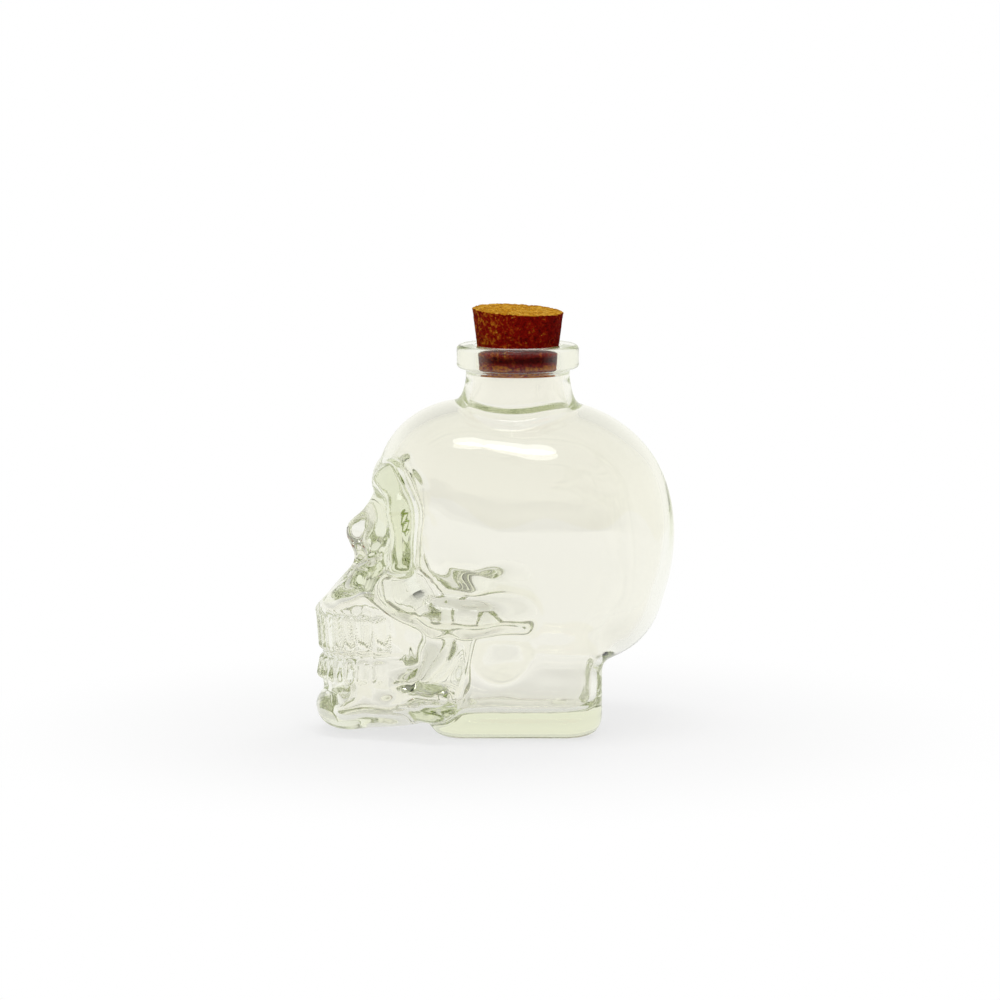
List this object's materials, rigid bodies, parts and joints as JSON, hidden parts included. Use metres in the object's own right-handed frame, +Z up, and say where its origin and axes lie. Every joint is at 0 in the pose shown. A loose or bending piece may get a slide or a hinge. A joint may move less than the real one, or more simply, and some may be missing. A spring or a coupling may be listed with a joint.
{
  "type": "skull bottle",
  "caption": "Clear glass bottle moulded as a human skull, standing on a flat foot, with a round neck, a rolled lip and a tapered cork that lifts out.",
  "frame": {"origin": "on the surface that the foot stands on, under the middle of the bounding box", "axes": "+Z up along the neck, the face looks along -Y, the skull's plane of symmetry is x = 0"},
  "size_m": [0.053, 0.0769, 0.0915],
  "materials": {
    "clear_glass": "clear moulded glass with a faint cream and green tint, polished",
    "agglomerated_cork": "pressed cork granules, red-brown, matt, with dark pits and tan specks"
  },
  "bodies": {
    "bottle": {"glass_bottle": "clear_glass"},
    "cork": {"cork_stopper": "agglomerated_cork"}
  },
  "joints": [
    {"name": "cork_lift", "type": "slide", "parent": "bottle", "child": "cork", "axis": [0, 0, 1], "range_m": [0, 0.03]}
  ]
}
